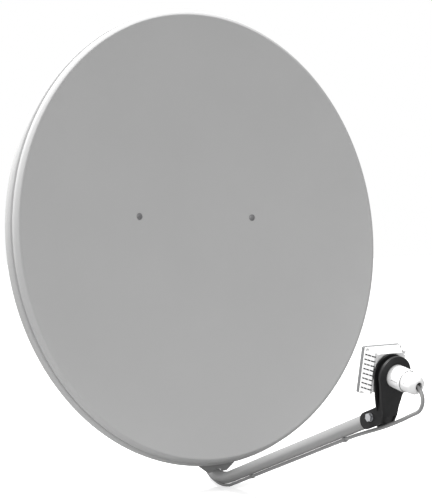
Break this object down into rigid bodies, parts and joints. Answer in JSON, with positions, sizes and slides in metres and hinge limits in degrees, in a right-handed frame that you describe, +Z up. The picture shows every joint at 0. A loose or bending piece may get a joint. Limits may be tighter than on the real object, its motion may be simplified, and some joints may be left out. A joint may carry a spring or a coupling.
{
  "type": "offset satellite dish antenna",
  "caption": "Offset satellite dish with a rolled rim, a bent feed arm carrying a square LNB in a clevis holder, a coax lead, and a tilting clamp for a round mast.",
  "frame": {"origin": "on the axis of the mast, at mid height of the clamp bolts", "axes": "+Z up along the mast, the dish faces -Y, +X to the right as seen from in front of the dish looking along +Y"},
  "size_m": [0.936, 1.0076, 1.0536],
  "materials": {
    "dish_coat": "satin pale grey powder coat, 0.1 mm, on pressed aluminium sheet",
    "arm_coat": "satin light grey paint on steel tube",
    "saddle_coat": "matt grey coat on pressed steel",
    "zinc_plate": "zinc-plated folded steel plate, satin",
    "zinc_bolts": "bright zinc-plated fasteners",
    "black_plastic": "fine matt moulded black plastic",
    "white_plastic": "semi-gloss white weatherproof plastic",
    "grey_plastic": "satin light grey plastic",
    "tie_plastic": "natural nylon",
    "lead_pvc": "satin pale grey PVC jacket",
    "nickel": "nickel-plated brass",
    "cast_aluminium": "die-cast, fine-grained",
    "board": "green solder mask"
  },
  "bodies": {
    "root": {"mast_bracket": "zinc_plate", "pivot_bolt": "zinc_bolts", "pivot_nut": "zinc_bolts", "lock_bolt": "zinc_bolts", "lock_nut": "zinc_bolts", "clamp_bolt_left_lower": "zinc_bolts", "clamp_bolt_left_upper": "zinc_bolts", "clamp_bolt_right_lower": "zinc_bolts", "clamp_bolt_right_upper": "zinc_bolts"},
    "clamp_jaw": {"clamp_jaw": "zinc_plate", "clamp_nut_left_lower": "zinc_bolts", "clamp_nut_left_upper": "zinc_bolts", "clamp_nut_right_lower": "zinc_bolts", "clamp_nut_right_upper": "zinc_bolts"},
    "dish": {"reflector": "dish_coat", "back_bolt_left": "zinc_bolts", "back_bolt_right": "zinc_bolts", "back_nut_left": "zinc_bolts", "back_nut_right": "zinc_bolts", "spacer_left": "black_plastic", "spacer_right": "black_plastic", "crossbar": "zinc_plate", "feed_arm": "arm_coat", "arm_cap": "black_plastic", "arm_saddle": "saddle_coat", "saddle_bolt_left": "zinc_bolts", "saddle_bolt_right": "zinc_bolts", "saddle_nut_left": "zinc_bolts", "saddle_nut_right": "zinc_bolts", "tilt_bracket": "zinc_plate", "arm_bolt_upper": "zinc_bolts", "arm_bolt_lower": "zinc_bolts", "arm_nut_upper": "zinc_bolts", "arm_nut_lower": "zinc_bolts", "lnb_holder": "black_plastic", "holder_bolt": "zinc_bolts", "holder_nut": "zinc_bolts", "jaw_screw": "zinc_bolts", "jaw_nut": "zinc_bolts", "lead_clip_1": "grey_plastic", "lead_clip_2": "grey_plastic", "lead_clip_3": "grey_plastic", "lead_clip_4": "grey_plastic", "coax_lead": "lead_pvc", "coax_coil": "lead_pvc", "coax_tail": "lead_pvc", "coax_plug": "nickel", "coil_tie": "tie_plastic"},
    "lnb": {"lnb_housing": "white_plastic", "lnb_front_cover": "grey_plastic", "feed_horn": "cast_aluminium", "circuit_board": "board", "f_socket": "nickel", "lnb_plug": "nickel"},
    "weather_cover": {"weather_cover": "white_plastic"}
  },
  "joints": [
    {"name": "elevation_tilt", "type": "hinge", "parent": "root", "child": "dish", "pos_m": [0, -0.105, 0.04], "axis": [-1, 0, 0], "range_deg": [-18, 27]},
    {"name": "lnb_skew", "type": "hinge", "parent": "dish", "child": "lnb", "pos_m": [0, -0.88, -0.2022], "axis": [0, 0.982, 0.1891], "range_deg": [-30, 30]},
    {"name": "weather_cover_slide", "type": "slide", "parent": "lnb", "child": "weather_cover", "axis": [0, 0.982, 0.1891], "range_m": [0, 0.022]},
    {"name": "mast_jaw_slide", "type": "slide", "parent": "root", "child": "clamp_jaw", "axis": [0, 1, 0], "range_m": [-0.0135, 0.0115]}
  ]
}
